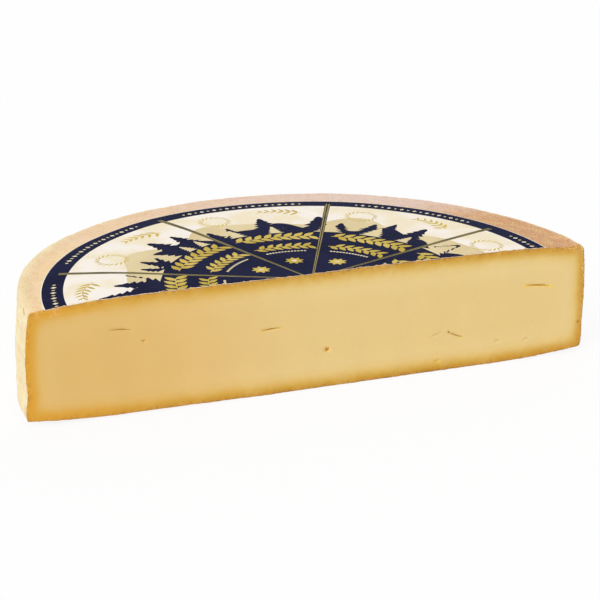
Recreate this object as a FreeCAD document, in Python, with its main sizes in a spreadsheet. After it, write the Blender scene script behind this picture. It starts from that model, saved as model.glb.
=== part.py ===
import FreeCAD, Part
import math
import os
import Sketcher

# Half a wheel of mountain cheese, cut straight down through its middle, with the half of its round
# paper label that the same cut left on top. Millimetres, +Z up.
#
# The wheel is a turned form: flat in the middle above and below, falling away at its shoulders, with
# a bulging side and rounded rims. Each sub-part is drawn about the wheel's own axis, with the cut in
# the XZ plane and the cheese behind it. It is then placed so that the origin lies under the middle
# of the half wheel's box.

WHEEL = {
    "wheel_radius": 270.0,
    "wheel_height": 112.0,
    "side_bulge": 3.5,
    "top_flat_radius": 160.0,
    "shoulder_drop": 6.0,
    "base_flat_radius": 180.0,
    "base_lift": 5.0,
    "top_rim_fillet": 5.0,
    "base_rim_fillet": 6.0,
}
LABEL = {
    "bare_rind_band": 31.0,
    "label_thickness": 0.3,
    "label_shift_left": 8.7,
    "label_shift_forward": 2.5,
}
# A slit is a flat gas pocket, pinched shut all round its rim, and an eye is a small round one. Each
# lies in from the left (-1) or the right (1) end of the cut, and so far up from the base. A slit has
# a length, a gape and a tilt in degrees. The cut ran a little behind the middle of each.
SLITS = {
    "left_slit": {"end": -1, "inset": 82.7, "up": 81.8, "length": 25.0, "gape": 1.6, "tilt": -7.0},
    "middle_slit": {"end": -1, "inset": 224.0, "up": 63.0, "length": 21.0, "gape": 1.4, "tilt": 4.0},
    "right_slit": {"end": 1, "inset": 50.0, "up": 73.4, "length": 29.0, "gape": 1.8, "tilt": -7.0},
    "right_crack": {"end": 1, "inset": 133.5, "up": 34.2, "length": 23.0, "gape": 1.6, "tilt": -24.0},
}
EYES = {
    "left_eye": {"end": -1, "inset": 107.0, "up": 68.2, "across": 3.2},
    "middle_eye": {"end": 1, "inset": 262.0, "up": 37.0, "across": 4.2},
    "right_eye": {"end": 1, "inset": 152.6, "up": 10.8, "across": 3.4},
}
CUT = {
    "slit_before_cut": 2.0,
    "eye_before_cut": 0.4,
}

# Sketcher's numbers for a curve's ends and centre, and for the sketch's origin and axes
START, END, CENTRE = 1, 2, 3
ORIGIN = (-1, 1)
LEVEL, UPRIGHT = -1, -2

# Where the sharp edges of the turned wheel lie, before its rims are rounded
EDGE_RADIUS = "Sizes.wheel_radius - Sizes.side_bulge"
TOP_EDGE_HEIGHT = "Sizes.wheel_height - Sizes.shoulder_drop"
LABEL_RADIUS = "Sizes.wheel_radius - Sizes.bare_rind_band"

doc = FreeCAD.newDocument("mountain_cheese_half_wheel")


def make_sheet():
    """The spreadsheet that holds each driving dimension in a row of its own."""
    sizes = {**WHEEL, **LABEL, **CUT}
    for name, hole in {**SLITS, **EYES}.items():
        sizes.update({f"{name}_{measure}": value for measure, value in hole.items()})
    sheet = doc.addObject("Spreadsheet::Sheet", "Sizes")
    for row, (alias, value) in enumerate(sizes.items(), start=1):
        sheet.set(f"A{row}", alias)
        sheet.set(f"B{row}", str(value))
        sheet.setAlias(f"B{row}", alias)
    doc.recompute()
    return sheet


def size(expression):
    """What an expression on the sheet comes to, to draw a sketch near its final form."""
    return float(sheet.evalExpression(expression))


def point(x, y):
    return FreeCAD.Vector(x, y, 0)


def new_body(label):
    """An empty body, moved forward so that its own axis stands in the middle of the cut."""
    body = doc.addObject("PartDesign::Body", label)
    body.Label = label
    body.setExpression("Placement.Base.y", "-Sizes.wheel_radius / 2")
    return body


def new_sketch(body, name, plane):
    """An empty sketch on one of the body's own origin planes."""
    planes = {item.Role: item for item in body.Origin.OriginFeatures}
    sketch = body.newObject("Sketcher::SketchObject", name)
    sketch.AttachmentSupport = (planes[plane], "")
    sketch.MapMode = "FlatFace"
    return sketch


def line(sketch, start, end):
    return sketch.addGeometry(Part.LineSegment(start, end))


def circle(sketch, centre, radius):
    return sketch.addGeometry(Part.Circle(centre, FreeCAD.Vector(0, 0, 1), radius))


def arc(sketch, centre, start, end):
    """An arc that runs anticlockwise about its centre."""
    whole = Part.Circle(centre, FreeCAD.Vector(0, 0, 1), centre.distanceToPoint(start))
    angles = [math.atan2(tip.y - centre.y, tip.x - centre.x) for tip in (start, end)]
    return sketch.addGeometry(Part.ArcOfCircle(whole, *angles))


def fix(sketch, kind, *where):
    sketch.addConstraint(Sketcher.Constraint(kind, *where))


def bind(sketch, kind, *where, to):
    """A dimension of the sketch that follows an expression on the sheet's cells."""
    index = sketch.addConstraint(Sketcher.Constraint(kind, *where, size(to)))
    sketch.setExpression(f"Constraints[{index}]", to)


def bend(run, fall):
    """An expression for the radius of an arc that sets off square and falls so far over its run."""
    return f"(({run})^2 + ({fall})^2) / (2 * ({fall}))"


TOP_BEND = bend(f"{EDGE_RADIUS} - Sizes.top_flat_radius", "Sizes.shoulder_drop")


def turn(body, name, sketch, degrees):
    """Turns a sketch about its upright axis: the first one of a body adds, any later one cuts."""
    feature = body.newObject("PartDesign::Groove" if body.Tip else "PartDesign::Revolution", name)
    feature.Profile = sketch
    feature.ReferenceAxis = (sketch, ["V_Axis"])
    feature.Angle = degrees
    return feature


# --- The cheese: its half section, turned half way round the axis, with both rims rounded ---


def draw_wheel_section(sketch):
    """From the axis out along the base, up the side and back over the top."""
    edge, top_edge = size(EDGE_RADIUS), size(TOP_EDGE_HEIGHT)
    base_flat, base_lift = size("Sizes.base_flat_radius"), size("Sizes.base_lift")
    top_flat, height = size("Sizes.top_flat_radius"), size("Sizes.wheel_height")
    base_bend = size(bend(f"{EDGE_RADIUS} - Sizes.base_flat_radius", "Sizes.base_lift"))
    side_radius = bend(f"({TOP_EDGE_HEIGHT} - Sizes.base_lift) / 2", "Sizes.side_bulge")
    side_centre = point(size(f"Sizes.wheel_radius - {side_radius}"), (base_lift + top_edge) / 2)

    base = line(sketch, point(0, 0), point(base_flat, 0))
    base_shoulder = arc(sketch, point(base_flat, base_bend), point(base_flat, 0), point(edge, base_lift))
    side = arc(sketch, side_centre, point(edge, base_lift), point(edge, top_edge))
    top_centre = point(top_flat, height - size(TOP_BEND))
    top_shoulder = arc(sketch, top_centre, point(edge, top_edge), point(top_flat, height))
    top = line(sketch, point(top_flat, height), point(0, height))
    axis = line(sketch, point(0, height), point(0, 0))

    fix(sketch, "Coincident", base, START, *ORIGIN)
    fix(sketch, "Horizontal", base)
    fix(sketch, "Tangent", base, END, base_shoulder, START)
    fix(sketch, "Coincident", base_shoulder, END, side, START)
    fix(sketch, "Coincident", side, END, top_shoulder, START)
    fix(sketch, "Tangent", top_shoulder, END, top, START)
    fix(sketch, "Horizontal", top)
    fix(sketch, "Coincident", top, END, axis, START)
    fix(sketch, "PointOnObject", axis, START, UPRIGHT)
    fix(sketch, "Coincident", axis, END, base, START)
    bind(sketch, "DistanceX", *ORIGIN, base, END, to="Sizes.base_flat_radius")
    bind(sketch, "DistanceX", *ORIGIN, side, START, to=EDGE_RADIUS)
    bind(sketch, "DistanceY", *ORIGIN, side, START, to="Sizes.base_lift")
    bind(sketch, "DistanceX", *ORIGIN, side, END, to=EDGE_RADIUS)
    bind(sketch, "DistanceY", *ORIGIN, side, END, to=TOP_EDGE_HEIGHT)
    bind(sketch, "Radius", side, to=side_radius)
    bind(sketch, "DistanceX", *ORIGIN, top, START, to="Sizes.top_flat_radius")
    bind(sketch, "DistanceY", *ORIGIN, top, START, to="Sizes.wheel_height")


def round_rim(body, name, height, radius):
    """Rounds the edge that runs round the wheel at this height."""
    doc.recompute()
    turned = body.Tip
    level = size(height)
    boxes = [edge.BoundBox for edge in turned.Shape.Edges]
    rim = [box.ZLength < 1e-6 and box.YLength > 1 and abs(box.ZMin - level) < 1e-6 for box in boxes]
    fillet = body.newObject("PartDesign::Fillet", name)
    fillet.Base = (turned, [f"Edge{number}" for number, found in enumerate(rim, start=1) if found])
    fillet.setExpression("Radius", radius)


def draw_lens(sketch, reach, gap):
    """Half of a lens, upright along its middle and pointed at its outer end, or half of a ball."""
    tip = point(size(reach), 0)
    roof_top = point(0, size(gap))
    floor_bottom = point(0, -size(gap))
    rise = point(0, size(bend(reach, gap)))

    middle = line(sketch, roof_top, floor_bottom)
    floor = arc(sketch, floor_bottom + rise, floor_bottom, tip)
    roof = arc(sketch, roof_top - rise, tip, roof_top)

    fix(sketch, "PointOnObject", middle, START, UPRIGHT)
    fix(sketch, "Coincident", middle, END, floor, START)
    fix(sketch, "Coincident", floor, END, roof, START)
    fix(sketch, "Coincident", roof, END, middle, START)
    fix(sketch, "Symmetric", middle, START, middle, END, *ORIGIN)
    fix(sketch, "PointOnObject", floor, END, LEVEL)
    fix(sketch, "PointOnObject", floor, CENTRE, UPRIGHT)
    fix(sketch, "PointOnObject", roof, CENTRE, UPRIGHT)
    bind(sketch, "DistanceX", *ORIGIN, floor, END, to=reach)
    bind(sketch, "DistanceY", *ORIGIN, middle, START, to=gap)


def cut_hole(body, name, length, gape, before_cut):
    """Cuts a gas hole at its own place along the cut and up from the base."""
    sketch = new_sketch(body, f"{name}_shape", "XZ_Plane")
    along = f"Sizes.{name}_end * (Sizes.wheel_radius - Sizes.{name}_inset)"
    sketch.setExpression("AttachmentOffset.Base.x", along)
    sketch.setExpression("AttachmentOffset.Base.y", f"Sizes.{name}_up")
    sketch.setExpression("AttachmentOffset.Base.z", before_cut)
    draw_lens(sketch, f"{length} / 2", f"{gape} / 2")
    turn(body, name, sketch, 360)
    return sketch


def make_cheese():
    body = new_body("cheese")
    section = new_sketch(body, "wheel_section", "XZ_Plane")
    draw_wheel_section(section)
    turn(body, "half_wheel", section, 180)
    round_rim(body, "top_rim", TOP_EDGE_HEIGHT, "Sizes.top_rim_fillet")
    round_rim(body, "base_rim", "Sizes.base_lift", "Sizes.base_rim_fillet")
    for name in SLITS:
        sketch = cut_hole(body, name, f"Sizes.{name}_length", f"Sizes.{name}_gape", "Sizes.slit_before_cut")
        sketch.setExpression("AttachmentOffset.Rotation.Angle", f"Sizes.{name}_tilt")
    for name in EYES:
        cut_hole(body, name, f"Sizes.{name}_across", f"Sizes.{name}_across", "Sizes.eye_before_cut")
    return body


# --- The label: a skin of paper that follows the top out to the side, trimmed to its own circle ---


def draw_paper_section(sketch):
    """A thin strip on the top of the wheel's section, with the same flat and the same shoulder."""
    edge, top_edge = size(EDGE_RADIUS), size(TOP_EDGE_HEIGHT)
    flat, height = size("Sizes.top_flat_radius"), size("Sizes.wheel_height")
    paper = size("Sizes.label_thickness")
    centre = point(flat, height - size(TOP_BEND))
    rim = point(edge, top_edge)
    outward = (rim - centre).normalize()
    upper_rim = rim + outward * paper

    under = line(sketch, point(0, height), point(flat, height))
    under_shoulder = arc(sketch, centre, rim, point(flat, height))
    rim_end = line(sketch, rim, upper_rim)
    over_shoulder = arc(sketch, centre, upper_rim, point(flat, height + paper))
    over = line(sketch, point(flat, height + paper), point(0, height + paper))
    axis = line(sketch, point(0, height + paper), point(0, height))

    fix(sketch, "PointOnObject", under, START, UPRIGHT)
    fix(sketch, "Horizontal", under)
    fix(sketch, "Tangent", under, END, under_shoulder, END)
    fix(sketch, "Coincident", under_shoulder, START, rim_end, START)
    fix(sketch, "PointOnObject", under_shoulder, CENTRE, rim_end)
    fix(sketch, "Coincident", rim_end, END, over_shoulder, START)
    fix(sketch, "Coincident", under_shoulder, CENTRE, over_shoulder, CENTRE)
    fix(sketch, "Tangent", over_shoulder, END, over, START)
    fix(sketch, "Horizontal", over)
    fix(sketch, "Coincident", over, END, axis, START)
    fix(sketch, "Coincident", axis, END, under, START)
    fix(sketch, "Vertical", axis)
    bind(sketch, "DistanceY", *ORIGIN, under, START, to="Sizes.wheel_height")
    bind(sketch, "DistanceX", *ORIGIN, under, END, to="Sizes.top_flat_radius")
    bind(sketch, "DistanceX", *ORIGIN, rim_end, START, to=EDGE_RADIUS)
    bind(sketch, "DistanceY", *ORIGIN, rim_end, START, to=TOP_EDGE_HEIGHT)
    bind(sketch, "DistanceY", axis, END, axis, START, to="Sizes.label_thickness")


def draw_trim(sketch):
    """All that lies outside the label's circle, out to past the side of the wheel."""
    middle = point(-size("Sizes.label_shift_left"), -size("Sizes.label_shift_forward"))
    label = circle(sketch, middle, size(LABEL_RADIUS))
    surround = circle(sketch, point(0, 0), size("Sizes.wheel_radius"))
    fix(sketch, "Coincident", surround, CENTRE, *ORIGIN)
    bind(sketch, "DistanceX", label, CENTRE, *ORIGIN, to="Sizes.label_shift_left")
    bind(sketch, "DistanceY", label, CENTRE, *ORIGIN, to="Sizes.label_shift_forward")
    bind(sketch, "Radius", label, to=LABEL_RADIUS)
    bind(sketch, "Radius", surround, to="Sizes.wheel_radius")


def make_label():
    body = new_body("label")
    section = new_sketch(body, "paper_section", "XZ_Plane")
    draw_paper_section(section)
    turn(body, "paper", section, 180)
    trim = new_sketch(body, "paper_trim", "XY_Plane")
    draw_trim(trim)
    pocket = body.newObject("PartDesign::Pocket", "label_circle")
    pocket.Profile = trim
    pocket.Type = "ThroughAll"
    pocket.Reversed = True
    return body


def check(parts):
    """Stops before anything is written if a feature failed, removed nothing or left a bad solid."""
    for item in doc.Objects:
        if {"Invalid", "Error"} & set(item.State):
            raise RuntimeError(f"{item.Name} failed: {item.State}")
        if item.TypeId == "Sketcher::SketchObject" and not item.FullyConstrained:
            raise RuntimeError(f"{item.Name} is not fully constrained")
        base = getattr(item, "BaseFeature", None)
        if base and item.Shape.Volume >= base.Shape.Volume:
            raise RuntimeError(f"{item.Name} removed nothing")
    for body in parts:
        if body.Shape.isNull() or not body.Shape.isValid() or len(body.Shape.Solids) != 1:
            raise RuntimeError(f"{body.Label} is not one sound solid")


sheet = make_sheet()
parts = [make_cheese(), make_label()]
doc.recompute()
check(parts)
os.makedirs("parts", exist_ok=True)
for body in parts:
    body.Shape.exportStep(f"parts/{body.Label}.step")
    print(f"{body.Label}: {body.Shape.Volume:.0f} cubic millimetres")
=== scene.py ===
import math
import random

import bmesh
import bpy
import numpy as np
from mathutils import Matrix, Vector, noise
from mathutils.geometry import delaunay_2d_cdt


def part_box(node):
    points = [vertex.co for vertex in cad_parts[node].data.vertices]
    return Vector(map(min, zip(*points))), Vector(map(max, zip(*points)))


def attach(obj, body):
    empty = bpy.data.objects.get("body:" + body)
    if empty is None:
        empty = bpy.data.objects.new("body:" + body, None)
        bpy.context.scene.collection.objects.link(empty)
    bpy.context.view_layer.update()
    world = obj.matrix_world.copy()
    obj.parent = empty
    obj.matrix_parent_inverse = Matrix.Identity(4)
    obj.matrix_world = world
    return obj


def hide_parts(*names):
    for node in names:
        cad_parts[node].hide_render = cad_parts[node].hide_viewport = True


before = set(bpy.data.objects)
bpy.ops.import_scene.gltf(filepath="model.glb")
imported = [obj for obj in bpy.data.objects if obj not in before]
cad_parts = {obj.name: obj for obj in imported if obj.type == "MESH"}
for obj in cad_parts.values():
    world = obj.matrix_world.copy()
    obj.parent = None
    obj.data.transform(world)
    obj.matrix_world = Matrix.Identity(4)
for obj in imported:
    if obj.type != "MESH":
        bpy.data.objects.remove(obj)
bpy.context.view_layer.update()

# --- The cheese ---
# Half of a pressed hard cheese, salted and ripened for months, then cut through its middle: one
# solid of dense pale paste that darkens towards a dry, sandy rind. Its skin is one closed mesh,
# with the side and both rims as a turned grid, and the top, base and cut as filled outlines.

low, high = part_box("cheese")
WHEEL_RADIUS = (high[0] - low[0]) / 2
WHEEL_HEIGHT = high[2] - low[2]
CUT = low[1]
SIDE_BULGE = 0.0035
TOP_FLAT_RADIUS = 0.160
SHOULDER_DROP = 0.006
BASE_FLAT_RADIUS = 0.180
BASE_LIFT = 0.005
TOP_RIM = 0.0054
BASE_RIM = 0.0050

EDGE_RADIUS = WHEEL_RADIUS - SIDE_BULGE
TOP_EDGE = WHEEL_HEIGHT - SHOULDER_DROP
SIDE_MIDDLE = (TOP_EDGE + BASE_LIFT) / 2
SIDE_HALF = (TOP_EDGE - BASE_LIFT) / 2
RIND_GRID = 0.0017
DISC_RADIUS = 0.226


def top_at(radius):
    """Height of the top: flat in the middle, then falling away over the shoulder."""
    reach = np.maximum(radius - TOP_FLAT_RADIUS, 0) / (EDGE_RADIUS - TOP_FLAT_RADIUS)
    return WHEEL_HEIGHT - SHOULDER_DROP * reach**2


def base_at(radius):
    """Height of the base: flat in the middle, then rising a little towards the rim."""
    reach = np.maximum(radius - BASE_FLAT_RADIUS, 0) / (EDGE_RADIUS - BASE_FLAT_RADIUS)
    return BASE_LIFT * reach**2


def side_at(height):
    """Radius of the side, which bulges most half way up."""
    return WHEEL_RADIUS - SIDE_BULGE * ((height - SIDE_MIDDLE) / SIDE_HALF) ** 2


def steps(start, end, spacing):
    """Even steps from start to end, about that far apart."""
    return np.linspace(start, end, max(2, round(abs(end - start) / spacing) + 1))


def rounded(before, corner, after, count=6):
    """Points of a rim that is rounded between two others."""
    share = np.linspace(0, 1, count + 2)[1:-1, None]
    return (1 - share) ** 2 * before + 2 * share * (1 - share) * corner + share**2 * after


def wheel_outline():
    """Radius and height of points from the base round the side to the top."""
    base_r = steps(DISC_RADIUS, EDGE_RADIUS - BASE_RIM, RIND_GRID)
    side_z = steps(BASE_LIFT + BASE_RIM, TOP_EDGE - TOP_RIM, RIND_GRID)
    top_r = steps(EDGE_RADIUS - TOP_RIM, DISC_RADIUS, RIND_GRID)
    base = np.c_[base_r, base_at(base_r)]
    side = np.c_[side_at(side_z), side_z]
    top = np.c_[top_r, top_at(top_r)]
    base_rim = rounded(base[-1], np.array([EDGE_RADIUS, BASE_LIFT]), side[0])
    top_rim = rounded(side[-1], np.array([EDGE_RADIUS, TOP_EDGE]), top[0])
    return np.vstack([base, base_rim, side, top_rim, top])


def turned(radius, height, angle):
    """Points of the wheel, where angle 0 is the right end of the cut."""
    return np.stack([radius * np.cos(angle), CUT + radius * np.sin(angle), height + 0 * angle], -1)


PASTE, RIND = 0, 1
cheese_mesh = bmesh.new()


def add_patch(points, faces, material):
    """Adds faces, given by the numbers of their points, to the cheese."""
    corners = [cheese_mesh.verts.new(point) for point in points]
    for face in faces:
        cheese_mesh.faces.new([corners[corner] for corner in face]).material_index = material


outline = wheel_outline()
turns = np.linspace(0, math.pi, round(math.pi * WHEEL_RADIUS / RIND_GRID) + 1)
grid = turned(outline[:, :1], outline[:, 1:], turns[None, :])
numbers = np.arange(len(outline) * len(turns)).reshape(len(outline), len(turns))
quads = np.stack([numbers[:-1, :-1], numbers[:-1, 1:], numbers[1:, 1:], numbers[1:, :-1]], -1)
add_patch(grid.reshape(-1, 3), quads.reshape(-1, 4), RIND)


def scatter(reach, spacing, keep):
    """Staggered points, so far apart, over a box that spans reach, where keep allows them."""
    (x0, x1), (y0, y1) = reach
    x, y = np.meshgrid(np.arange(x0, x1, spacing), np.arange(y0, y1, spacing * math.sqrt(0.75)))
    x = x + spacing / 2 * (np.arange(len(y)) % 2)[:, None]
    wanted = keep(x, y)
    return np.c_[x[wanted], y[wanted]]


def fill(loop, inside, lines=()):
    """Triangles over all that a loop encloses, through the points inside and along closed lines.

    Gives points, triangles, and for each point the numbers of those that it was made from.
    """
    points = [Vector(point) for point in (*loop, *inside)]
    edges = []
    for line in lines:
        first, last = len(points), len(points) + len(line) - 1
        edges += [(number, number + 1) for number in range(first, last)] + [(last, first)]
        points += [Vector(point) for point in line]
    made = delaunay_2d_cdt(points, edges, [list(range(len(loop)))], 1, 1e-7, True)
    return np.array(made[0]), made[2], made[3]


# The top and the base, under the label and out of sight, are half discs, finer at their edges
CUT_GRID = 0.0015
DISC_BANDS = [
    # spacing, from, to: how far in from the half disc's edge
    (0.0018, 0.0012, 0.005),
    (0.0035, 0.005, 0.012),
    (0.007, 0.012, 1.0),
]
disc_line = steps(-DISC_RADIUS, DISC_RADIUS, CUT_GRID)[1:-1]
disc_arc = turned(DISC_RADIUS, 0.0, turns)[:, :2] - (0, CUT)


def within(near, far):
    """Says which points of a half disc lie between two distances from its edge."""
    def keep(x, y):
        depth = np.minimum(y, DISC_RADIUS - np.hypot(x, y))
        return (depth > near) & (depth <= far)
    return keep


disc_inside = [scatter(((-DISC_RADIUS, DISC_RADIUS), (0, DISC_RADIUS)), spacing, within(near, far))
               for spacing, near, far in DISC_BANDS]
disc_loop = np.vstack([disc_arc, np.c_[disc_line, 0 * disc_line]])
points, faces, _ = fill(disc_loop, np.vstack(disc_inside))
radii = np.hypot(points[:, 0], points[:, 1])
add_patch(np.c_[points[:, 0], points[:, 1] + CUT, top_at(radii)], faces, RIND)
add_patch(np.c_[points[:, 0], points[:, 1] + CUT, base_at(radii)],
          [face[::-1] for face in faces], RIND)

# Gas holes that the cut has opened: bowed slits pinched shut at their tips, small round eyes, and
# hairline checks. Each lies in from the left (-1) or right (1) end of the cut.
HOLES = [
    # end, inset, up, length, gape, tilt, bow, depth, stain
    (-1, 0.0862, 0.0800, 0.0260, 0.0008, -6, 0.0014, 0.0016, 0.20),
    (-1, 0.2240, 0.0630, 0.0210, 0.0010, 4, 0.0010, 0.0030, 0.60),
    (1, 0.0502, 0.0722, 0.0310, 0.0013, -7, 0.0012, 0.0026, 0.85),
    (1, 0.1340, 0.0345, 0.0205, 0.0008, -24, -0.0004, 0.0024, 0.40),
    (1, 0.1410, 0.0378, 0.0030, 0.0017, -30, 0.0, 0.0018, 0.30),
    (-1, 0.1070, 0.0682, 0.0026, 0.0022, 20, 0.0, 0.0010, 0.30),
    (1, 0.2620, 0.0370, 0.0042, 0.0038, 0, 0.0, 0.0022, 0.70),
    (1, 0.1526, 0.0108, 0.0050, 0.0018, 8, 0.0, 0.0009, 0.60),
    (1, 0.1545, 0.0372, 0.0150, 0.0003, 20, 0.0, 0.0002, 0.08),
    (1, 0.0908, 0.0224, 0.0058, 0.0008, 12, 0.0, 0.0003, 0.35),
    (1, 0.0612, 0.0205, 0.0065, 0.0004, 14, 0.0, 0.0003, 0.12),
    (1, 0.0052, 0.0306, 0.0026, 0.0018, 70, 0.0, 0.0024, 0.30),
]
HOLE_DEPTHS = (0.0, 0.3, 0.6, 0.82, 0.97)
SLIT_POINTS = 28
EYE_POINTS = 14


def hole_rings(end, inset, up, length, gape, tilt, bow, deepest, _):
    """The hole's outline at several depths from its mouth inwards, as (points, depth)."""
    is_slit = gape < length / 3
    turn = np.linspace(0, 2 * math.pi, SLIT_POINTS if is_slit else EYE_POINTS, endpoint=False)
    lean = math.radians(tilt)
    rings = []
    for share in HOLE_DEPTHS:
        narrowing = math.sqrt(1 - share**2)
        x = length / 2 * ((1 - share) ** 0.7 if is_slit else narrowing) * np.cos(turn)
        round_up = np.sign(np.sin(turn)) * np.abs(np.sin(turn)) ** (2 if is_slit else 1)
        z = gape / 2 * narrowing * round_up + bow * (1 - (2 * x / length) ** 2)
        across = end * (WHEEL_RADIUS - inset) + x * math.cos(lean) - z * math.sin(lean)
        rings.append((np.c_[across, up + x * math.sin(lean) + z * math.cos(lean)],
                      share * deepest))
    return rings


# The cut face fills the outline that the turned grid and the half discs leave open
FACE_BANDS = [
    # spacing, from, to: how far in from the rind
    (0.0012, 0.0009, 0.006),
    (0.0019, 0.006, 1.0),
]
COLLAR = 0.0011


def to_rind(x, z):
    """How deep a point of the cut lies inside the cheese, measured to its nearest side."""
    radius = np.abs(x)
    return np.minimum(np.minimum(top_at(radius) - z, z - base_at(radius)), side_at(z) - radius)


def off_rims(x, z):
    """Whether a point of the cut lies inside both rounded rims and clear of them."""
    clear = True
    for corner, rim_size in ((TOP_EDGE, TOP_RIM), (BASE_LIFT, BASE_RIM)):
        across = np.maximum(EDGE_RADIUS - np.abs(x), 0) / rim_size
        along = np.abs(z - corner) / rim_size
        clear &= np.sqrt(across) + np.sqrt(along) > 1 + COLLAR / rim_size
    return clear


def on_face(near, far):
    """Says which points of the cut lie between two depths, clear of the rims and the holes."""
    def keep(x, z):
        kept = (to_rind(x, z) > near) & (to_rind(x, z) <= far) & off_rims(x, z)
        for end, inset, up, length, gape, tilt, bow, _, _ in HOLES:
            dx, dz = x - end * (WHEEL_RADIUS - inset), z - up
            lean = math.radians(tilt)
            along = dx * math.cos(lean) + dz * math.sin(lean)
            over = dz * math.cos(lean) - dx * math.sin(lean)
            over = over - bow * np.maximum(1 - (2 * along / length) ** 2, 0)
            beyond = np.maximum(np.abs(along) - length / 2, 0)
            kept &= np.hypot(beyond, over) > gape / 2 + COLLAR
        return kept
    return keep


face_loop = np.vstack([outline, np.c_[disc_line[::-1], top_at(np.abs(disc_line))],
                       outline[::-1] * (-1, 1), np.c_[disc_line, base_at(np.abs(disc_line))]])
face_inside = [scatter(((-WHEEL_RADIUS, WHEEL_RADIUS), (0, WHEEL_HEIGHT)), spacing,
                       on_face(near, far)) for spacing, near, far in FACE_BANDS]
rings = [ring for hole in HOLES for ring in hole_rings(*hole)]
points, faces, origins = fill(face_loop, np.vstack(face_inside), [ring for ring, _ in rings])
level = np.zeros(len(face_loop) + sum(map(len, face_inside)))
levels = np.concatenate([level, *(np.full(len(ring), depth) for ring, depth in rings)])
inwards = np.array([max((levels[number] for number in origin), default=0.0) for origin in origins])
add_patch(np.c_[points[:, 0], CUT + inwards, points[:, 1]], faces, PASTE)

WELD = 5e-6
bmesh.ops.remove_doubles(cheese_mesh, verts=cheese_mesh.verts, dist=WELD)
bmesh.ops.triangulate(cheese_mesh, faces=cheese_mesh.faces)
cheese_data = bpy.data.meshes.new("cheese_half")
cheese_mesh.to_mesh(cheese_data)
cheese_mesh.free()

# The rind is uneven: soft swells left by the hoop and the cloth, dents, and a sandy grain. The
# knife leaves the paste in shallow waves, and crumbles it where it is dry, next to the rind.
DENTS = [
    # degrees round from the right end of the cut, height, width, depth
    (177.4, 0.1026, 0.0030, 0.0013),
    (146, 0.0240, 0.0200, 0.0009),
    (134, 0.0880, 0.0070, 0.0016),
    (118, 0.0760, 0.0130, 0.0013),
    (97, 0.0560, 0.0060, 0.0012),
    (84, 0.0330, 0.0200, 0.0015),
    (66, 0.0930, 0.0060, 0.0016),
    (52, 0.0700, 0.0170, 0.0013),
    (38, 0.0240, 0.0080, 0.0014),
    (23, 0.0450, 0.0140, 0.0012),
    (3, 0.0305, 0.0034, 0.0016),
]

# The wheel has set out of round. At the left its side and foot stand out, its rim and base stand
# higher, its corners are sharper, and the end of the cut is drawn in. The right does less of it.
SIDE_SWELLS = [
    # height, reach, amount
    (0.107, 0.008, 0.0010),
    (0.052, 0.022, 0.0022),
    (0.028, 0.0085, 0.0018),
]
FOOT_HEIGHTS = (0.008, 0.034)
LEFT_FOOT = 0.0027
LEFT_END_FOOT = 0.0052
RIGHT_FOOT = 0.0019
LIFTED_RADII = (0.250, 0.262)
LEFT_LIFT = 0.0032
RIGHT_LIFT = 0.0020
BASE_RISE = 0.0012
PULL_MIDDLE = 0.0012
PULL_CORNERS = 0.0034
SHARPENED = 0.7
SHARPENED_REACH = 0.0036


def fade(value, start, end):
    """0 at start, 1 at end, smooth between."""
    share = np.clip((value - start) / (end - start), 0, 1)
    return share * share * (3 - 2 * share)


def rough(points, size, seed, detail=1):
    """Smooth noise from -1 to 1 with lumps of about that size, at each point."""
    shift = Vector((seed * 7.31, seed * 3.17, seed * 5.93))
    if detail == 1:
        return np.array([noise.noise(Vector(point) / size + shift) for point in points])
    return np.array([noise.fractal(Vector(point) / size + shift, 1.0, 2.0, detail)
                     for point in points])


def around_middle(points):
    """Each point's radius, its turn in degrees from the right end, and its height."""
    x, y, z = points.T
    return np.hypot(x, y - CUT), np.degrees(np.arctan2(y - CUT, x)), z


def settling(points):
    """How far each point of the plain wheel has moved as the wheel set out of round."""
    radius, turn, height = around_middle(points)
    at_end = fade(turn, 168, 179)
    swell = sum(amount * np.exp(-((height - place) / reach) ** 2)
                for place, reach, amount in SIDE_SWELLS)
    share = np.clip((height - SIDE_MIDDLE) / SIDE_HALF, -1, 1)
    pull = PULL_MIDDLE + (PULL_CORNERS - PULL_MIDDLE) * share**2
    swell = swell * fade(turn, 135, 158) * (1 - at_end) - pull * at_end
    low_down = fade(height, 0.0, 0.006) * (1 - fade(height, *FOOT_HEIGHTS))
    left_foot = LEFT_FOOT + (LEFT_END_FOOT - LEFT_FOOT) * fade(turn, 160, 172)
    swell += left_foot * low_down * fade(turn, 120, 158)
    swell += RIGHT_FOOT * low_down * (1 - fade(turn, 8, 40))
    swell *= fade(radius, 0.252, 0.264)
    lift = LEFT_LIFT * (0.6 * fade(turn, 106, 128) + 0.4 * fade(turn, 124, 150)) * (1 - at_end)
    lift += RIGHT_LIFT * (1 - fade(turn, 0, 34))
    lift *= fade(radius, *LIFTED_RADII) * fade(height, 0.060, 0.104)
    left_base = fade(turn, 120, 165) * fade(radius, 0.06, 0.14)
    lift += BASE_RISE * left_base * (1 - fade(height, 0.0, 0.05))
    for corner in (TOP_EDGE, BASE_LIFT):
        away = np.hypot(radius - EDGE_RADIUS, height - corner)
        drawn = SHARPENED * fade(turn, 118, 150) * np.exp(-(away / SHARPENED_REACH) ** 2)
        swell += drawn * (EDGE_RADIUS - radius)
        lift += drawn * (corner - height)
    turn = np.radians(turn)
    return np.stack([swell * np.cos(turn), swell * np.sin(turn), lift], -1)


# The label, which lies off the wheel's middle, keeps the rind under it smooth
LABEL_RADIUS = 0.2383
LABEL_MIDDLE = (-0.0115, CUT - 0.0110)
HOOP_SWELL = 0.00045
CLOTH_SWELL = 0.00036
SANDY_GRAIN = 0.00036


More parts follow.
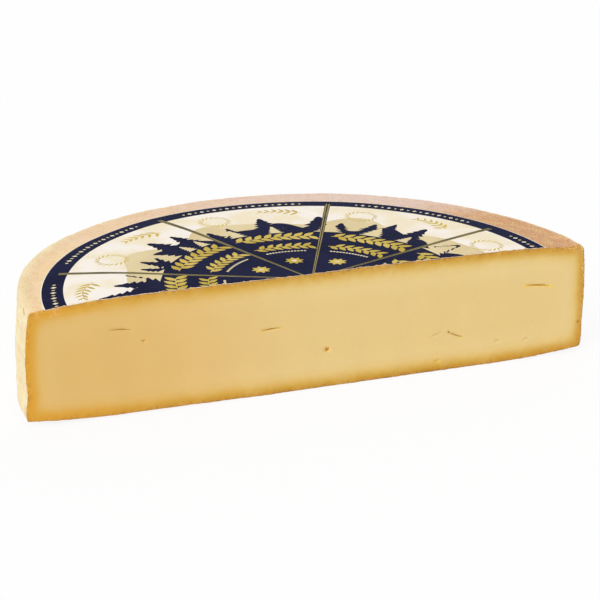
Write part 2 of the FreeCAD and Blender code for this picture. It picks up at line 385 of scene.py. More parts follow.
def rind_relief(points):
    """How far the rind lies below its plain turned shape at each point, or above if negative."""
    x, y, z = points.T
    broad = HOOP_SWELL * rough(points, 0.070, 1)
    middle = CLOTH_SWELL * rough(points, 0.021, 2)
    fine = SANDY_GRAIN * rough(points, 0.0062, 3, 3)
    apart = np.hypot(x - LABEL_MIDDLE[0], y - LABEL_MIDDLE[1])
    covered = fade(z, 0.100, 0.104) * (1 - fade(apart, LABEL_RADIUS - 0.001, LABEL_RADIUS + 0.004))
    standing = fade(z, 0.004, 0.008)
    at_rim = fade(np.hypot(x, y - CUT), 0.245, 0.262) * standing
    widest = at_rim * np.exp(-((z - SIDE_MIDDLE) / 0.032) ** 2)
    kept_in = 0.0005 - 0.0004 * at_rim + 0.0006 * widest
    return kept_in + broad + (1 - covered) * standing * (1 - 0.45 * widest) * (middle + fine)


count = len(cheese_data.vertices)
flat_points = np.empty(count * 3)
cheese_data.vertices.foreach_get("co", flat_points)
start = flat_points.reshape(-1, 3)
moved = start.copy()
is_rind = np.zeros(count, bool)
is_paste = np.zeros(count, bool)
outward = np.zeros((count, 3))
for polygon in cheese_data.polygons:
    corners = list(polygon.vertices)
    if polygon.material_index == RIND:
        is_rind[corners] = True
        outward[corners] += polygon.area * np.array(polygon.normal)
    else:
        is_paste[corners] = True
lengths = np.linalg.norm(outward, axis=1)
outward[is_rind] /= lengths[is_rind, None]

rind = np.nonzero(is_rind)[0]
relief = rind_relief(start[rind])
radius, turn, height = around_middle(start[rind])
for dent_turn, place, width, depth in DENTS:
    away = np.hypot((turn - dent_turn) * math.pi / 180 * WHEEL_RADIUS, height - place)
    relief += depth * np.exp(-(away / width * 2) ** 2) * (radius > 0.25)
moved[rind] -= outward[rind] * relief[:, None]

moved += settling(start)

KNIFE_WAVE = 0.00022
PASTE_LUMP = 0.00030
CRUMB_DEPTH = 0.00075
EDGE_LOSS = 0.00065
paste = np.nonzero(is_paste)[0]
x, z = start[paste, 0], start[paste, 2]
deep = to_rind(x, z)
wander = 2.2 * rough(start[paste], 0.09, 4)
waves = KNIFE_WAVE * (1 + np.sin(x / 0.0072 + z / 0.031 + wander))
lumps = PASTE_LUMP * (1 + rough(start[paste], 0.034, 5))
torn = np.maximum(rough(start[paste], 0.0034, 6, 2) + 0.15, 0)
crumbs = CRUMB_DEPTH * torn * (1 - fade(deep, 0.001, 0.0055))
edge_share = (1 - fade(deep, 0.0, 0.0011)) * (1 + 0.9 * rough(start[paste], 0.0052, 7, 2))
moved[paste, 1] += waves + lumps + crumbs + EDGE_LOSS * edge_share
moved = np.clip(moved, low, high)
cheese_data.vertices.foreach_set("co", moved.ravel())
cheese_data.update()


class Wire:
    """An output of a node. Arithmetic on it adds Math nodes."""

    def __init__(self, finish, socket):
        self.finish, self.socket = finish, socket

    def maths(self, operation, *values):
        return self.finish.node("ShaderNodeMath", {"operation": operation},
                                dict(enumerate(values)))

    def __add__(self, other):
        return self.maths("ADD", self, other)

    def __sub__(self, other):
        return self.maths("SUBTRACT", self, other)

    def __rsub__(self, other):
        return self.maths("SUBTRACT", other, self)

    def __mul__(self, other):
        return self.maths("MULTIPLY", self, other)

    def __truediv__(self, other):
        return self.maths("DIVIDE", self, other)

    def __rtruediv__(self, other):
        return self.maths("DIVIDE", other, self)

    def __pow__(self, other):
        return self.maths("POWER", self, other)

    def __rpow__(self, other):
        return self.maths("POWER", other, self)

    def __abs__(self):
        return self.maths("ABSOLUTE", self)

    __radd__ = __add__
    __rmul__ = __mul__

    def at_least(self, other):
        return self.maths("MAXIMUM", self, other)

    def rounded_least(self, other, rounding):
        """The smaller of two values, with the corner between them rounded off."""
        return self.maths("SMOOTH_MIN", self, other, rounding)

    def over(self, start, end):
        """0 where the value is at start, 1 at end, smooth between."""
        return self.finish.node("ShaderNodeMapRange", {"interpolation_type": "SMOOTHSTEP"},
                                {"Value": self, "From Min": start, "From Max": end})


class Finish:
    """The nodes of a material, or of the room round the piece."""

    def __init__(self, owner):
        owner.use_nodes = True
        self.owner, self.tree = owner, owner.node_tree
        self.tree.nodes.clear()

    def node(self, kind, settings=None, values=None, output=0):
        """Adds a node, makes its settings, then sets or links its sockets."""
        made = self.tree.nodes.new(kind)
        for name, value in (settings or {}).items():
            if name == "stops":
                stops = made.color_ramp.elements
                for number, (place, colour) in enumerate(value):
                    stop = stops[number] if number < 2 else stops.new(place)
                    stop.position, stop.color = place, colour
            else:
                setattr(made, name, value)
        for name, value in (values or {}).items():
            if isinstance(value, Wire):
                self.tree.links.new(value.socket, made.inputs[name])
            else:
                made.inputs[name].default_value = value
        return Wire(self, made.outputs[output]) if made.outputs else None

    def place(self):
        """The point on the piece, in metres."""
        return self.node("ShaderNodeTexCoord", output="Object")

    def grain(self, where, size, detail=2.0, **more):
        """Noise with lumps of about that size in metres, from 0 to 1."""
        return self.node("ShaderNodeTexNoise", {},
                         {"Vector": where, "Scale": 1 / size, "Detail": detail, **more})

    def blend(self, share, first, second):
        """The first colour where share is 0, the second where it is 1."""
        return self.node("ShaderNodeMix", {"data_type": "RGBA"},
                         {0: share, 6: first, 7: second}, output=2)

    def bump(self, height, depth, strength=1.0):
        """Relief that is too fine for the mesh, so deep in metres."""
        return self.node("ShaderNodeBump", {},
                         {"Height": height, "Distance": depth, "Strength": strength})

    def surface(self, **values):
        """Ends the material in one Principled BSDF, with underscores for spaces in its sockets."""
        named = {name.replace("_", " "): value for name, value in values.items()}
        shader = self.node("ShaderNodeBsdfPrincipled", {}, named)
        self.node("ShaderNodeOutputMaterial", {}, {"Surface": shader})


def shade(red, green, blue):
    """A colour from its values on a 0 to 255 chart."""
    return (*((value / 12.92 if value <= 0.04045 else ((value + 0.055) / 1.055) ** 2.4)
              for value in (red / 255, green / 255, blue / 255)), 1.0)


def in_wheel(finish, where):
    """The three coordinates of a point on the piece, and its distance from the wheel's middle."""
    x, y, z = (finish.node("ShaderNodeSeparateXYZ", {}, {0: where}, output=axis)
               for axis in "XYZ")
    return x, y, z, (x * x + (y - CUT) * (y - CUT)) ** 0.5


# Paste: pale in the middle, ochre for about 9 mm in from the rind, brown and dry at its edge
paste_finish = Finish(bpy.data.materials.new("cheese_paste"))
where = paste_finish.place()
x, y, z, from_middle = in_wheel(paste_finish, where)
top_reach = ((from_middle - TOP_FLAT_RADIUS) / (EDGE_RADIUS - TOP_FLAT_RADIUS)).at_least(0.0)
base_reach = ((from_middle - BASE_FLAT_RADIUS) / (EDGE_RADIUS - BASE_FLAT_RADIUS)).at_least(0.0)
side_reach = (z - SIDE_MIDDLE) / SIDE_HALF
rightwards = x.over(-0.10, 0.10)
lifted = rightwards * RIGHT_LIFT * from_middle.over(*LIFTED_RADII)
below_top = WHEEL_HEIGHT - SHOULDER_DROP * (top_reach * top_reach) - z + lifted
above_base = z - BASE_LIFT * (base_reach * base_reach) - BASE_RISE * x.over(-0.06, -0.14)
foot = (1 - z.over(*FOOT_HEIGHTS)) * (LEFT_END_FOOT + rightwards * (RIGHT_FOOT - LEFT_END_FOOT))
pull = PULL_MIDDLE + side_reach * side_reach * (PULL_CORNERS - PULL_MIDDLE)
set_radius = WHEEL_RADIUS + foot - pull * (1 - rightwards)
from_side = set_radius - SIDE_BULGE * (side_reach * side_reach) - from_middle
ROUNDING = 0.012
# Along the base the ochre band is drawn a little wider: partly the paste's own edge colour, partly
# painted shade where the cheese meets the floor.
inside = below_top.rounded_least(above_base * 0.9, ROUNDING).rounded_least(from_side, ROUNDING)
cloud = paste_finish.grain(where, 0.030, 3.0)
wisp = paste_finish.grain(where, 0.0065, 3.0)
crumb = paste_finish.grain(where, 0.0017, 3.0)
clot = paste_finish.grain(where, 0.0034, 2.0)
DEEPEST = 0.040
shares = (inside + (cloud - 0.5) * 0.0036 + (wisp - 0.5) * 0.0022) / DEEPEST
band = paste_finish.node("ShaderNodeValToRGB", {"stops": (
    (0.000, shade(150, 102, 38)),
    (1.000, shade(231, 202, 137)),
    (0.035, shade(194, 140, 44)),
    (0.095, shade(207, 159, 54)),
    (0.165, shade(217, 177, 84)),
    (0.245, shade(227, 192, 114)),
    (0.330, shade(231, 201, 132)),
    (0.480, shade(233, 205, 141)),
    (0.850, shade(231, 202, 137)),
)}, {"Fac": shares})
mottled = paste_finish.blend((cloud - 0.5) * 0.45 + (wisp - 0.5) * 0.25 + 0.03,
                             band, shade(239, 214, 154))
# Towards the left the paste is painted a deeper orange: painted shade, not a riper paste.
paste_with_painted_shade = paste_finish.blend(x.over(0.02, -0.20) * 0.42, mottled, shade(222, 164, 60))
left_band = x.over(-0.14, -0.26) * inside.over(0.013, 0.004)
paste_with_painted_shade = paste_finish.blend(left_band * 0.45, paste_with_painted_shade, shade(232, 166, 40))
right_band = x.over(0.10, 0.25) * inside.over(0.0105, 0.0035)
paste_with_painted_shade = paste_finish.blend(right_band * 0.45, paste_with_painted_shade, shade(212, 154, 52))
dry = inside.over(0.0052, 0.0014)
driest = x.over(0.235, 0.258) * z.over(0.040, 0.095)
dark_bits = clot.over(0.50, 0.60) * dry * (0.32 + 0.20 * driest)
speckled = paste_finish.blend(dark_bits, paste_with_painted_shade, shade(160, 104, 48))
pale_bits = crumb.over(0.50, 0.60) * dry
flecked = paste_finish.blend(pale_bits * 0.36, speckled, shade(232, 188, 88))
flecked = paste_finish.blend(pale_bits * driest * 0.75, flecked, shade(242, 214, 160))
flake = x.over(-0.232, -0.240) * x.over(-0.262, -0.254) * z.over(0.0985, 0.1030)
flecked = paste_finish.blend(flake * clot.over(0.44, 0.54) * 0.75, flecked, shade(238, 178, 98))
STAIN_OUTSIDE = 0.0011
STAIN_INSIDE = 0.0002
sunk = y - CUT
# Hole walls sunk deeper than 1.1 to 2.2 mm turn dark orange: partly the walls' own deeper yellow,
# partly painted shade in the holes.
paste_colour = paste_finish.blend(sunk.over(0.0011, 0.0022) * 0.85, flecked, shade(222, 150, 36))
for end, inset, up, length, gape, tilt, bow, _, stain in HOLES:
    lean = math.radians(tilt)
    across, above = x - end * (WHEEL_RADIUS - inset), z - up
    share = (across * math.cos(lean) + above * math.sin(lean)) * (2 / length)
    off_line = above * math.cos(lean) - across * math.sin(lean) - bow * (1 - share * share)
    stained = abs(off_line).over(gape / 2 + STAIN_OUTSIDE, gape / 2 - STAIN_INSIDE)
    stained = stained * abs(share).over(1.20, 0.90) * sunk.over(0.0020, 0.0012)
    paste_colour = paste_finish.blend(stained * stain, paste_colour, shade(244, 204, 84))
knife = paste_finish.grain(where, 0.0016, 4.0)
CUT_RELIEF = 0.00022
paste_finish.surface(
    Base_Color=paste_colour,
    Roughness=0.50 + 0.16 * knife,
    Specular_IOR_Level=0.30,
    Subsurface_Weight=0.12,
    Subsurface_Radius=(1.0, 0.6, 0.25),
    Subsurface_Scale=0.004,
    Normal=paste_finish.bump(knife + wisp * 1.5, CUT_RELIEF, 0.6),
)

# Rind: brushed with brine, peach to tan in clouds, pale and sandy where its bloom has dried
rind_finish = Finish(bpy.data.materials.new("cheese_rind"))
where = rind_finish.place()
x, y, z, from_middle = in_wheel(rind_finish, where)
cloud = rind_finish.grain(where, 0.060, 3.0)
patch = rind_finish.grain(where, 0.011, 4.0)
sand = rind_finish.grain(where, 0.0014, 3.0)
PIT_SPACING = 0.0022
pits = rind_finish.node("ShaderNodeTexVoronoi", {}, {"Vector": where, "Scale": 1 / PIT_SPACING})
# The top is painted pale peach on the left and darker tan on the right: partly its own tone, partly
# painted light from the lamp on the left.
tan = rind_finish.blend(x.over(-0.20, 0.25), shade(252, 221, 176), shade(202, 150, 102))
rosy = rind_finish.blend(y.over(-0.02, 0.06) * (0.40 + 0.45 * x.over(-0.15, 0.05)), tan,
                         shade(236, 210, 192))
# The side's own pale tone is painted brighter still towards the left: painted light from the lamp
# on the left.
side_with_painted_light = rind_finish.blend(x.over(0.26, -0.20), shade(238, 206, 156), shade(255, 246, 204))
on_side = from_middle.over(0.2560, 0.2655)
around = rind_finish.blend(on_side, rosy, side_with_painted_light)
pink = rind_finish.grain(where, 0.0052, 3.0).over(0.42, 0.66)
washed = rind_finish.blend((cloud - 0.5) * 0.8 + 0.15, around, shade(236, 192, 142))
lengthwise = rind_finish.node("ShaderNodeVectorMath", {"operation": "MULTIPLY"},
                              {0: where, 1: (1.0, 1.0, 4.5)})
streak = rind_finish.grain(lengthwise, 0.034, 4.0)
streaked = on_side * streak.over(0.48, 0.66) * (0.18 + 0.20 * x.over(-0.20, 0.10))
washed = rind_finish.blend(streaked, washed, shade(226, 182, 128))
at_rims = z.over(0.020, 0.004) + z.over(0.098, 0.106)
washed = rind_finish.blend(on_side * at_rims * 0.14, washed, shade(214, 160, 104))
flushed = rind_finish.blend(pink * x.over(-0.30, 0.14) * 0.58, washed, shade(216, 136, 94))
coarser = x.over(-0.12, 0.18)
blotched = rind_finish.blend(patch.over(0.48, 0.60) * (0.27 + 0.09 * coarser), flushed,
                             shade(236, 198, 132))
dusted = rind_finish.blend(sand.over(0.50, 0.64) * 0.50, blotched, shade(253, 232, 192))
pitted = rind_finish.blend((1 - pits.over(0.05, 0.40)) * (0.07 + 0.41 * coarser), dusted,
                           shade(174, 118, 74))
haze = y.over(-0.04, 0.06) * x.over(-0.12, 0.10) * from_middle.over(0.2670, 0.2580)
hazy = rind_finish.blend(haze * 0.52, pitted, shade(236, 216, 208))
# A short dark streak near the left end of the top rim, over the dent there: painted shade in that
# dent.
nick_painted_shade = abs(y - (CUT + 0.0145) - (z - 0.1007) * 1.1).over(0.0016, 0.0005)
nick_painted_shade = nick_painted_shade * x.over(-0.20, -0.25) * from_middle.over(0.258, 0.261)
nick_painted_shade = nick_painted_shade * z.over(0.0996, 0.1006) * z.over(0.1055, 0.1047)
with_nick_shade = rind_finish.blend(nick_painted_shade * 0.8, hazy, shade(118, 84, 62))
by_cut = (y - CUT).over(0.0045, 0.0010) * z.over(0.096, 0.104)
bared = rind_finish.blend(by_cut * 0.7, with_nick_shade, shade(221, 166, 84))
RIND_RELIEF = 0.00085
gritty = sand + patch * 1.2 + streak * 0.4 + pits.over(0.0, 0.4) * 0.6
rind_finish.surface(
    Base_Color=bared,
    Roughness=0.72 + 0.18 * sand,
    Specular_IOR_Level=0.25,
    Normal=rind_finish.bump(gritty, RIND_RELIEF, 0.9),
)

cheese = bpy.data.objects.new("cheese_half", cheese_data)
bpy.context.collection.objects.link(cheese)
for finish in (paste_finish, rind_finish):
    cheese_data.materials.append(finish.owner)
cheese_data.polygons.foreach_set("use_smooth", [True] * len(cheese_data.polygons))
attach(cheese, "root")
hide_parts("cheese")

# --- The label ---
# A round sheet of thin paper, pasted on the top of the wheel and cut through with it, so it is torn
# along the cut. It is printed in navy, cream, sand and gold: a rim with a chain of lozenges and
# dots, a sky over hills and firs, sprigs, wreaths and garlands, and pairs of lines to cut along.

PAPER = 0.00028
GLUE = 0.00002
PAPER_GRID = 0.0042
FULL_TURN = 2 * math.pi
draw = random.Random(23)

INKS = {
    # fresh, faded
    "paper": ((249, 243, 232), (236, 224, 200)),
    "sky": ((250, 242, 232), (244, 231, 202)),
    "navy": ((15, 19, 50), (20, 25, 56)),
    "sand": ((222, 203, 157), (230, 212, 168)),
    "gold": ((196, 170, 74), (214, 188, 98)),
    "cream": ((238, 226, 196), (226, 210, 170)),
    "guide": ((66, 62, 52), (54, 50, 46)),
    "dull_gold": ((158, 144, 92), (176, 160, 104)),
    "torn": ((222, 182, 122), (206, 156, 92)),
}
PRINTS = list(INKS)
MARGIN = 0.0009
RIM_POINTS = 400
FIR_TIERS = 5
fields = []

# Where the parts of the print lie, as shares of the label's radius
CHAIN = 0.953
SKY_EDGE = 0.917
SPRIGS = 0.800
WREATHS = 0.790
OUTER_GARLAND = 0.505
INNER_GARLAND = 0.385
BEADS = 0.325
ROSETTES = 0.215
SAND_WOOD_FOOT = 0.556


def polar(share, angle):
    """A point on the label from its share of the radius and its angle, round the middle."""
    reach = share * LABEL_RADIUS
    return np.stack([LABEL_MIDDLE[0] + reach * np.cos(angle),
                     LABEL_MIDDLE[1] + reach * np.sin(angle)], -1)


def print_field(ink, outline):
    """Prints a closed outline over what is there, unless it lies wholly in front of the cut."""
    if outline[:, 1].max() > CUT + 0.0004:
        fields.append((ink, outline))


def print_at(ink, share, angle, outline):
    """Prints an outline drawn about a point of the label, its y pointing out to the rim."""
    middle = polar(share, angle)
    out = np.array([math.cos(angle), math.sin(angle)])
    side = np.array([math.sin(angle), -math.cos(angle)])
    outline = np.asarray(outline)
    print_field(ink, middle + outline[:, :1] * side + outline[:, 1:] * out)


def rim(share):
    """A circle on the label."""
    return polar(share, np.linspace(0, FULL_TURN, RIM_POINTS, endpoint=False))


def oval(wide, high, count):
    """An oval of so many corners, or with four of them a lozenge."""
    turn = np.linspace(0, FULL_TURN, count, endpoint=False)
    return np.c_[wide / 2 * np.cos(turn), high / 2 * np.sin(turn)]


def moved_by(outline, x, y, angle):
    """An outline turned about its origin, then shifted."""
    turn = np.array([[math.cos(angle), math.sin(angle)], [-math.sin(angle), math.cos(angle)]])
    return np.asarray(outline) @ turn + (x, y)


def leaf(length, width):
    """A pointed leaf that grows along y from its foot."""
    along = np.array([0.0, 0.12, 0.35, 0.62, 0.85, 1.0])
    half = np.array([0.0, 0.55, 1.0, 0.85, 0.42, 0.0]) * width / 2
    there = np.c_[half, along * length]
    back = np.c_[-half[1:-1], along[1:-1] * length]
    return np.vstack([there, back[::-1]])


# The sky, the rim, the hills and the ground
print_field("navy", rim(1 - MARGIN / LABEL_RADIUS))
print_field("sky", rim(SKY_EDGE))


def ground_at(turn):
    """The share of the radius that the dark wooded ground reaches to."""
    return 0.625 + 0.040 * np.sin(8 * turn + 2.4) + 0.020 * np.sin(19 * turn)


turn = np.linspace(0, FULL_TURN, RIM_POINTS, endpoint=False)
hills = 0.700 + 0.045 * np.sin(8 * turn + 0.2) + 0.022 * np.sin(13 * turn + 1.9)
print_field("sand", polar(hills, turn))
print_field("navy", polar(ground_at(turn), turn))


def fir(tall, wide, tiers):
    """A fir's jagged outline, up one side to its tip and down the other."""
    sides = []
    for side in (1, -1):
        points = []
        for tier in range(tiers):
            reach = side * wide / 2 * (1 - tier / tiers) ** 0.85 * draw.uniform(0.85, 1.12)
            up = tall * tier / tiers
            points += [(reach, up + tall * 0.02), (reach * 0.50, up + tall / tiers * 0.86)]
        sides.append(points)
    return sides[0] + [(0.0, tall)] + sides[1][::-1]


def print_wood(ink, heights, foot_at, spacing):
    """A row of firs all round, in heights drawn from a few shares of the radius."""
    angle = 0.0
    while angle < FULL_TURN:
        tall = LABEL_RADIUS * draw.choice(heights) * draw.uniform(0.9, 1.1)
        wide = tall * draw.uniform(0.76, 0.98)
        print_at(ink, foot_at(angle), angle, fir(tall, wide, FIR_TIERS))
        angle += spacing * wide / LABEL_RADIUS / 0.62 * draw.uniform(0.75, 1.35)


print_wood("navy", (0.10, 0.12, 0.15, 0.18), lambda angle: ground_at(angle) - 0.03, 1.0)
print_wood("sand", (0.08, 0.10, 0.13), lambda angle: SAND_WOOD_FOOT, 1.9)

# Portions: eight of them, each with its own sprig, wreath, garlands, beads, rosette and chain
PORTIONS = 8
FIRST_GUIDE = math.radians(20.4)
PORTION = FULL_TURN / PORTIONS


def sprig(length, leaves):
    """A bent stem with pairs of leaves."""
    grown = []
    for number in range(leaves):
        share = (number + 0.5) / leaves
        for side in (-1, 1):
            size = length * (0.30 - 0.13 * share)
            bend = 0.12 * length * math.sin(share * math.pi)
            grown.append(moved_by(leaf(size, size * 0.30), bend, length * share,
                                  side * (0.95 - 0.3 * share)))
    stem = np.linspace(0, 1, 9)
    bow = 0.12 * length * np.sin(stem * math.pi)
    grown.append(np.vstack([np.c_[bow + length * 0.011, stem * length],
                            np.c_[bow - length * 0.011, stem * length][::-1]]))
    return grown


STEM_HALF = 0.0006


def print_garland(share, middle, spread, leaves, size):
    """A stem that bends round the label, with leaves on both sides in turn."""
    run = middle + spread * np.linspace(-1, 1, 24)
    half = STEM_HALF / LABEL_RADIUS
    print_field("gold", np.vstack([polar(share + half, run), polar(share - half, run[::-1])]))
    for count in range(leaves):
        along = middle + spread * (2 * (count + 0.4) / leaves - 1)
        lean = -0.75 if count % 2 else 0.75 - math.pi
        print_at("gold", share, along, moved_by(leaf(size, size * 0.46), 0, 0, lean))


def row(start_angle, spread, count):
    """Angles in even steps about the middle of a portion, to that share of it on either side."""
    return [start_angle + PORTION * (0.5 + spread * (2 * number / (count - 1) - 1))
            for number in range(count)]


WREATH_LEAVES = 18
PETALS = 8
spray = moved_by(leaf(0.0078, 0.0019), 0.0, 0.0115, -1.0)
petal = leaf(0.0090, 0.0048)
for number in range(PORTIONS):
    start_angle = FIRST_GUIDE + number * PORTION
    for part in sprig(0.042, 6):
        print_at("gold", SPRIGS, start_angle + PORTION * 0.30, moved_by(part, 0.021, 0.001, 1.35))
    for turned_by in range(WREATH_LEAVES):
        print_at("gold", WREATHS, start_angle + PORTION * 0.76,
                 moved_by(spray, 0, 0, turned_by * FULL_TURN / WREATH_LEAVES))
    heart = start_angle + PORTION * 0.5
    print_garland(OUTER_GARLAND, heart, PORTION * 0.40, 16, 0.0140)
    print_garland(INNER_GARLAND, heart, PORTION * 0.38, 13, 0.0115)
    for along in row(start_angle, 0.30, 13):
        print_at("cream", BEADS, along, oval(0.0028, 0.0028, 6))
    for turned_by in range(PETALS):
        print_at("gold", ROSETTES, heart, moved_by(petal, 0, 0, turned_by * FULL_TURN / PETALS))
    print_at("cream", ROSETTES, heart, oval(0.0048, 0.0048, 8))
    for link, along in enumerate(row(start_angle, 0.34, 19)):
        if link % 2:
            print_at("cream", CHAIN, along, oval(0.0046, 0.0056, 4))
        else:
            print_at("sand", CHAIN, along, oval(0.0026, 0.0036, 6))

# Guides to cut along: a pair of thin gold lines on a dark one, which close up towards the middle
GUIDE_LINES = [
    # ink, offset, width
    ("guide", 0.0, 0.0056),
    ("dull_gold", -0.0014, 0.0011),
    ("dull_gold", 0.0014, 0.0011),
]
NARROWED = 0.40
for number in range(PORTIONS):
    along = FIRST_GUIDE + number * PORTION
    end = LABEL_RADIUS * CHAIN / 2
    for ink, offset, width in GUIDE_LINES:
        first, second = offset + width / 2, offset - width / 2
        print_at(ink, CHAIN / 2, along, [(first * NARROWED, -end), (first, end),
                                         (second, end), (second * NARROWED, -end)])

# The sheet: its round edge, and the ragged one along the cut, next to which the print is lost
TEAR = 0.0030
PRINT_LOSS = 0.0024
reach = math.sqrt(LABEL_RADIUS**2 - (CUT - LABEL_MIDDLE[1]) ** 2)
edge_x = np.linspace(LABEL_MIDDLE[0] - reach, LABEL_MIDDLE[0] + reach, 560)
edge_points = np.c_[edge_x, 0 * edge_x, 0 * edge_x]
ragged = 0.0005 + TEAR * np.maximum(rough(edge_points, 0.0050, 11, 3) + 0.12, 0)
lost = ragged + 0.0001 + PRINT_LOSS * np.maximum(rough(edge_points, 0.0070, 12, 3), 0)
tilt = math.asin((CUT - LABEL_MIDDLE[1]) / LABEL_RADIUS) + 0.004
round_edge = polar(1.0, np.linspace(tilt, math.pi - tilt, 460))
sheet_loop = np.vstack([round_edge, np.c_[edge_x, CUT + ragged][1:-1]])
print_field("torn", np.vstack([np.c_[edge_x, CUT + lost],
                               [(edge_x[-1], CUT - 0.004), (edge_x[0], CUT - 0.004)]]))


def on_sheet(x, y):
    """Whether a point lies on the sheet and clear of its edges."""
    away = np.hypot(x - LABEL_MIDDLE[0], y - LABEL_MIDDLE[1])
    return (away < LABEL_RADIUS - 0.002) & (y > CUT + 0.0035)


def enclosed(spots, outline):
    """Which spots lie inside an outline."""
    x, y = spots.T
    inside = np.zeros(len(spots), bool)
    for (x0, y0), (x1, y1) in zip(outline, np.roll(outline, -1, 0)):
        share = (y - y0) / ((y1 - y0) or 1.0)
        inside ^= ((y0 > y) != (y1 > y)) & (x < x0 + (x1 - x0) * share)
    return inside


sheet_inside = scatter(((-0.25, 0.25), (CUT, 0.11)), PAPER_GRID, on_sheet)
points, faces, _ = fill(sheet_loop, sheet_inside, [field for _, field in fields])
faces = np.array(faces)
kept, faces = np.unique(faces[enclosed(points[faces].mean(axis=1), sheet_loop)],
                        return_inverse=True)
points, faces = points[kept], faces.reshape(-1, 3)
centres = points[faces].mean(axis=1)
inks = np.zeros(len(faces), int)
for ink, outline in fields:
    near = np.nonzero(((centres > outline.min(0)) & (centres < outline.max(0))).all(1))[0]
    inks[near[enclosed(centres[near], outline)]] = PRINTS.index(ink)
flat_sheet = np.c_[points, 0 * points[:, 0]]
radii = np.hypot(points[:, 0], points[:, 1] - CUT)
flat_sheet[:, 2] = top_at(radii)
flat_sheet[:, 2] += settling(flat_sheet)[:, 2] - rind_relief(flat_sheet)
sheet = bmesh.new()
lower = [sheet.verts.new(point + (0, 0, GLUE)) for point in flat_sheet]
upper = [sheet.verts.new(point + (0, 0, PAPER)) for point in flat_sheet]
for corners, ink in zip(faces, inks):
    sheet.faces.new([upper[corner] for corner in corners]).material_index = ink
    sheet.faces.new([lower[corner] for corner in corners[::-1]])
place = {vertex: number for number, vertex in enumerate(lower)}
for edge in [edge for edge in sheet.edges if edge.is_boundary and edge.verts[0] in place]:
    loop = edge.link_loops[0]
    first, second = place[loop.vert], place[loop.link_loop_next.vert]
    sheet.faces.new([lower[second], lower[first], upper[first], upper[second]])
label_data = bpy.data.meshes.new("label_sheet")
sheet.to_mesh(label_data)
sheet.free()

PAPER_RELIEF = 0.00014
for ink in PRINTS:
    finish = Finish(bpy.data.materials.new("label_" + ink))
    where = finish.place()
    cloud = finish.grain(where, 0.034, 3.0)
    cockle = finish.grain(where, 0.013, 2.0)
    worn = finish.grain(where, 0.0060, 5.0)
    fibre = finish.grain(where, 0.0009, 4.0)
    fresh, faded = (shade(*value) for value in INKS[ink])
    printed = finish.blend(cloud.over(0.38, 0.62), fresh, faded)
    rubbed = finish.blend(worn.over(0.66, 0.80) * fibre.over(0.45, 0.65) * 0.25, printed,
                          shade(214, 200, 176))
    finish.surface(
        Base_Color=rubbed,
        Roughness=0.72 + 0.2 * fibre,
        Specular_IOR_Level=0.06,
        Normal=finish.bump(fibre + cockle * 6.0, PAPER_RELIEF, 0.7),
    )
    label_data.materials.append(finish.owner)

label = bpy.data.objects.new("label_sheet", label_data)
bpy.context.collection.objects.link(label)
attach(label, "root")
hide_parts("label")

# --- The studio ---
# A wide pale floor in a soft white room, with one large soft lamp high in front on the left and a
# weaker one behind on the right. Floor and room show white, and the floor keeps the shadow.

FLOOR_HALF = 6.0
WHITE = (1, 1, 1, 1)
FLOOR_WHITE = 0.88
SOFT_LIGHT = 0.64


def seen_itself(finish):
    """1 where the camera sees the thing, straight, in a shiny piece or through a clear one."""
    camera_ray, glossy_ray, clear_ray = (
        finish.node("ShaderNodeLightPath", output=ray)
        for ray in ("Is Camera Ray", "Is Glossy Ray", "Is Transmission Ray"))
    return camera_ray.at_least(glossy_ray).at_least(clear_ray)


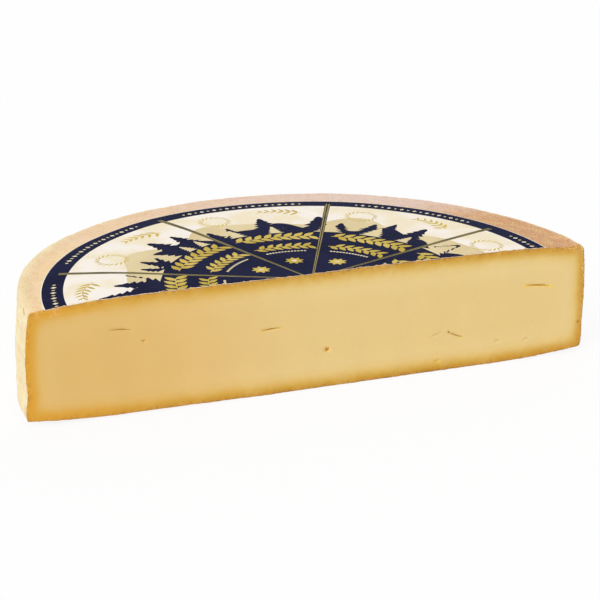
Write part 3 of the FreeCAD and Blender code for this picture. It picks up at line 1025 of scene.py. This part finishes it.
floor_corners = [(x, y, 0) for x, y in ((-FLOOR_HALF, -FLOOR_HALF), (FLOOR_HALF, -FLOOR_HALF),
                                        (FLOOR_HALF, FLOOR_HALF), (-FLOOR_HALF, FLOOR_HALF))]
floor_data = bpy.data.meshes.new("floor")
floor_data.from_pydata(floor_corners, [], [(0, 1, 2, 3)])
floor = bpy.data.objects.new("floor", floor_data)
bpy.context.collection.objects.link(floor)
floor_finish = Finish(bpy.data.materials.new("floor_white"))
matt = floor_finish.node("ShaderNodeBsdfDiffuse", {}, {"Color": shade(248, 248, 248)})
lit = floor_finish.node("ShaderNodeEmission", {}, {"Color": WHITE, "Strength": 1.0})
mixed = floor_finish.node("ShaderNodeMixShader", {},
                          {0: seen_itself(floor_finish) * FLOOR_WHITE, 1: matt, 2: lit})
floor_finish.node("ShaderNodeOutputMaterial", {}, {"Surface": mixed})
floor_data.materials.append(floor_finish.owner)

room = bpy.data.worlds.new("room")
bpy.context.scene.world = room
room_finish = Finish(room)
soft, white = (room_finish.node("ShaderNodeBackground", {},
                                {"Color": WHITE, "Strength": strength})
               for strength in (SOFT_LIGHT, 1.0))
chosen = room_finish.node("ShaderNodeMixShader", {},
                          {0: seen_itself(room_finish), 1: soft, 2: white})
room_finish.node("ShaderNodeOutputWorld", {}, {"Surface": chosen})

LAMPS = [
    # name, strength, softness, direction of its light
    ("key", 1.38, 0.7, (0.62, 0.52, -0.72)),
    ("back", 0.35, 1.0, (-0.5, -0.8, -0.5)),
]
for name, strength, softness, towards in LAMPS:
    lamp = bpy.data.lights.new(name, "SUN")
    lamp.energy, lamp.angle = strength, softness
    holder = bpy.data.objects.new(name, lamp)
    holder.rotation_euler = Vector(towards).to_track_quat("-Z", "Y").to_euler()
    bpy.context.collection.objects.link(holder)

CAMERA_PLACE = (-0.53903, -1.53543, 0.63905)
CAMERA_HEADING = -20.373
CAMERA_DROP = 20.2325
CAMERA_ROLL = 0.216
CAMERA_LENS = 107.1
camera_data = bpy.data.cameras.new("camera")
camera_data.sensor_width = 36.0
camera_data.lens = CAMERA_LENS
camera_data.clip_end = 50.0
camera = bpy.data.objects.new("camera", camera_data)
camera.matrix_world = (Matrix.Translation(CAMERA_PLACE)
                       @ Matrix.Rotation(math.radians(CAMERA_HEADING), 4, "Z")
                       @ Matrix.Rotation(math.radians(90 - CAMERA_DROP), 4, "X")
                       @ Matrix.Rotation(math.radians(CAMERA_ROLL), 4, "Z"))
bpy.context.collection.objects.link(camera)
bpy.context.scene.camera = camera
bpy.context.scene.view_settings.view_transform = "Standard"
